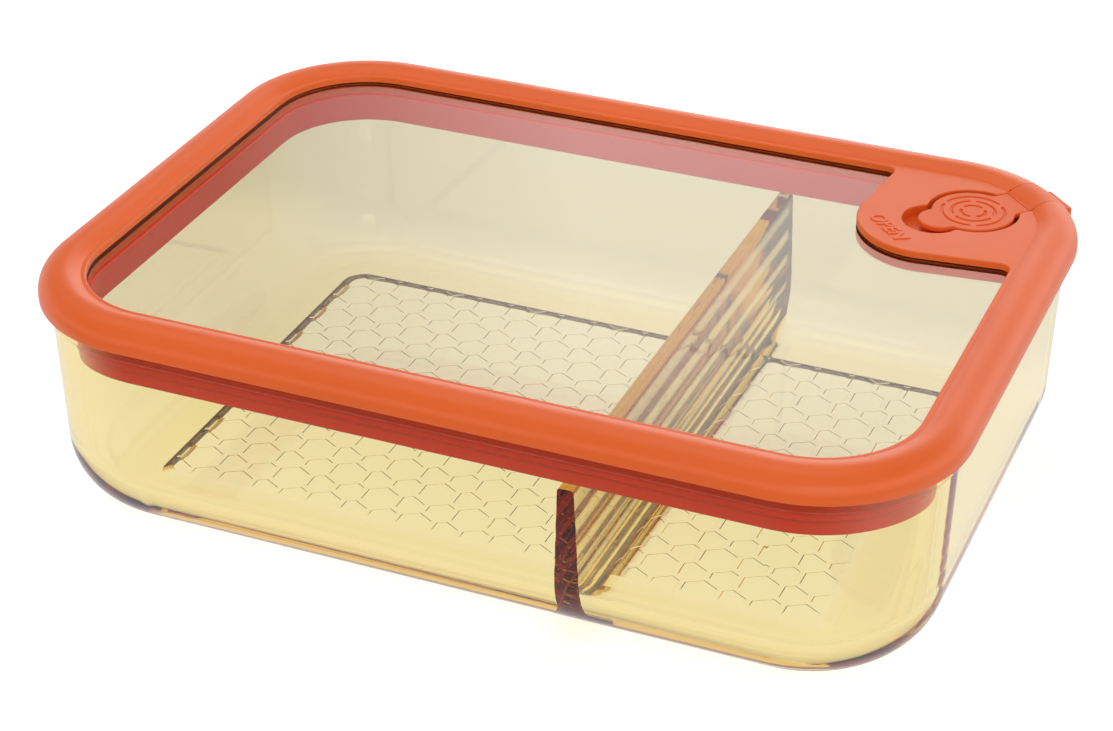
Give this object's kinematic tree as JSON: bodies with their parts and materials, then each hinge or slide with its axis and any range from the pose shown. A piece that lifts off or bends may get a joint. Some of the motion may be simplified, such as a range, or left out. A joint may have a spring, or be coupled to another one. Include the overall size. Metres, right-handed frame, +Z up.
{
  "type": "divided food container",
  "caption": "Low rectangular glass food container with rounded corners, a fixed partition, and a push-on lid with a clear pane, soft seal and flip-up vent.",
  "frame": {"origin": "middle of the base on the surface it stands on", "axes": "+X along the long side towards the small compartment, +Y towards the long side whose corner holds the vent, +Z up"},
  "size_m": [0.22, 0.158, 0.0584],
  "materials": {
    "amber_glass": "clear pressed glass with a pale amber tint",
    "clear_glass": "clear flat glass",
    "lid_plastic": "orange moulded plastic with a soft satin skin",
    "seal_silicone": "orange silicone rubber",
    "vent_silicone": "orange silicone rubber, as the frame"
  },
  "bodies": {
    "tub": {"glass_tub": "amber_glass", "divider": "amber_glass"},
    "lid": {"lid_frame": "lid_plastic", "window_pane": "clear_glass", "lid_seal": "seal_silicone", "vent_strap": "vent_silicone", "vent_hinge": "vent_silicone"},
    "vent": {"vent_cap": "vent_silicone"}
  },
  "joints": [
    {"name": "lid_lift", "type": "slide", "parent": "tub", "child": "lid", "axis": [0, 0, 1], "range_m": [0, 0.09]},
    {"name": "vent_flip", "type": "hinge", "parent": "lid", "child": "vent", "pos_m": [0.09252, 0.06152, 0.0569], "axis": [-0.7071, 0.7071, 0], "range_deg": [0, 110], "deforming": ["vent_hinge"]}
  ]
}
